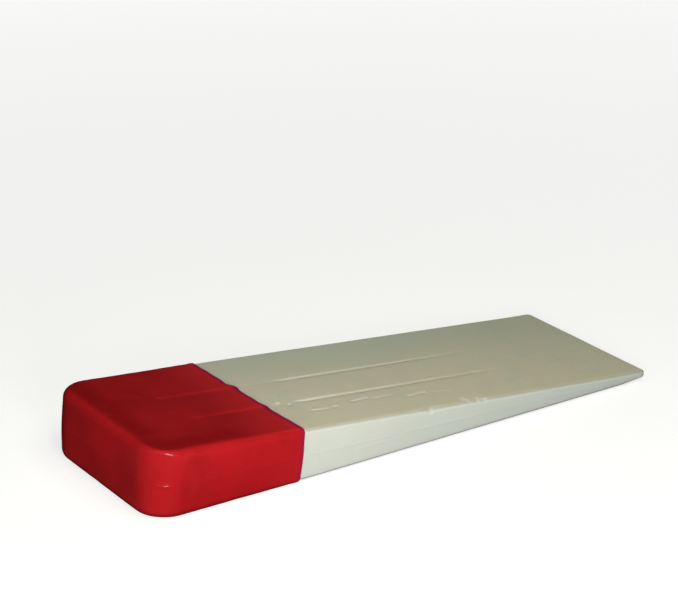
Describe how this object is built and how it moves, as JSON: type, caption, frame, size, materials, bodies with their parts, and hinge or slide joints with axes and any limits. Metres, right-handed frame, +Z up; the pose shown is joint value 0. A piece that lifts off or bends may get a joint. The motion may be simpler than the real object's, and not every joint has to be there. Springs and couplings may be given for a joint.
{
  "type": "felling wedge",
  "caption": "Solid ivory plastic felling wedge, struck head dipped in glossy red vinyl, shallow lengthwise grooves on both broad faces, blunt tip.",
  "frame": {"origin": "centre of the base of the bounding box, with the wedge lying on its lower broad face", "axes": "+X from the struck head to the tip, +Y across the width, +Z up through the thickness"},
  "size_m": [0.2036, 0.0644, 0.0234],
  "materials": {
    "ivory_plastic": "moulded ivory thermoplastic, satin, faintly mottled, with fine scuffs and nicks from use",
    "red_vinyl": "thick glossy red dipped vinyl, slightly uneven skin with soft edges"
  },
  "bodies": {
    "root": {"wedge_body": "ivory_plastic", "red_head_coat": "red_vinyl"}
  },
  "joints": []
}
